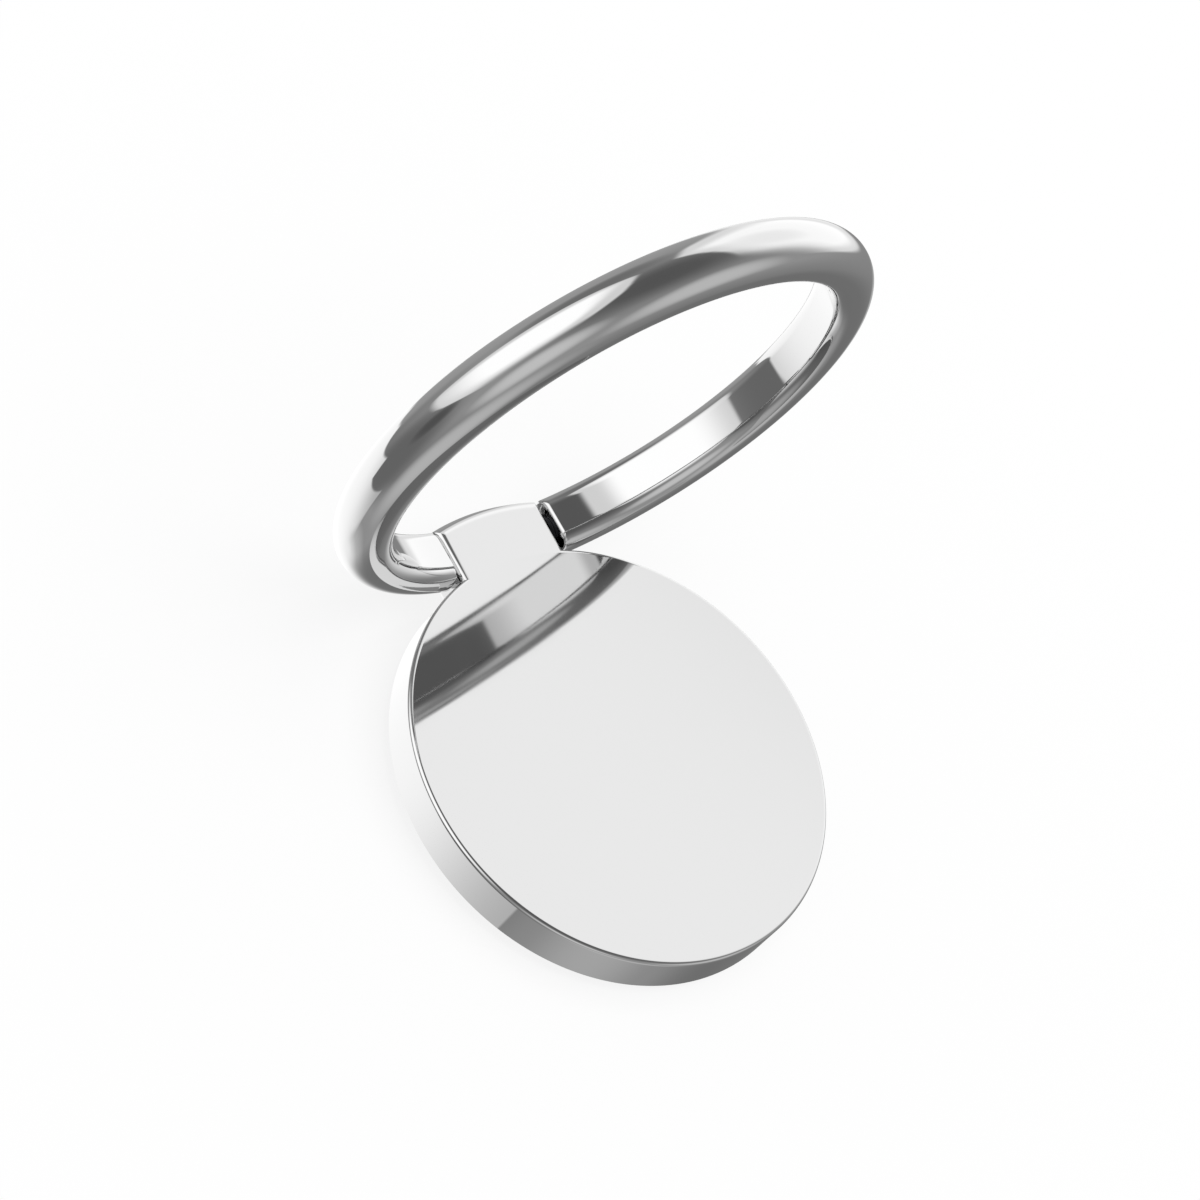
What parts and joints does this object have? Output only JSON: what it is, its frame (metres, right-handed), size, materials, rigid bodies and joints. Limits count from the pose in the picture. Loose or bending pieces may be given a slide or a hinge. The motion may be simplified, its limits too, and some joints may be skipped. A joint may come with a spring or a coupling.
{
  "type": "phone ring holder",
  "caption": "Polished metal phone ring: a flat disc that swivels on a stick-on steel base, with a domed C-shaped finger ring hinged on a tab at its rim.",
  "frame": {"origin": "centre of the adhesive pad's underside, on the disc's swivel axis", "axes": "+Z out of the disc's polished face, +Y from the disc's centre to the hinge tab, X along the hinge axis; the ring stands upright at rest, as in the picture"},
  "size_m": [0.0352, 0.0316, 0.0357],
  "materials": {
    "foam_tape": "matt foam with a tacky face",
    "sheet_steel": "rolled sheet",
    "turned_steel": "turned",
    "spring_steel": "rolled and hardened",
    "acetal": "machined, off-white",
    "polished_disc": "polished and plated",
    "polished_ring": "polished and plated"
  },
  "bodies": {
    "base": {"adhesive_pad": "foam_tape", "base_plate": "sheet_steel", "glide_ring": "acetal"},
    "disc": {"swivel_disc": "polished_disc", "swivel_rivet": "turned_steel", "spring_washer": "spring_steel", "thrust_washer": "acetal", "steel_plate": "sheet_steel", "hinge_bush": "acetal", "hinge_washer_left": "spring_steel", "hinge_washer_right": "spring_steel"},
    "ring": {"finger_ring": "polished_ring", "hinge_pin": "turned_steel"}
  },
  "joints": [
    {"name": "disc_swivel", "type": "hinge", "parent": "base", "child": "disc", "pos_m": [0, 0, 0], "axis": [0, 0, 1], "continuous": true},
    {"name": "ring_flip", "type": "hinge", "parent": "disc", "child": "ring", "pos_m": [0, 0.0153, 0.0025], "axis": [1, 0, 0], "range_deg": [-90, 90]}
  ]
}
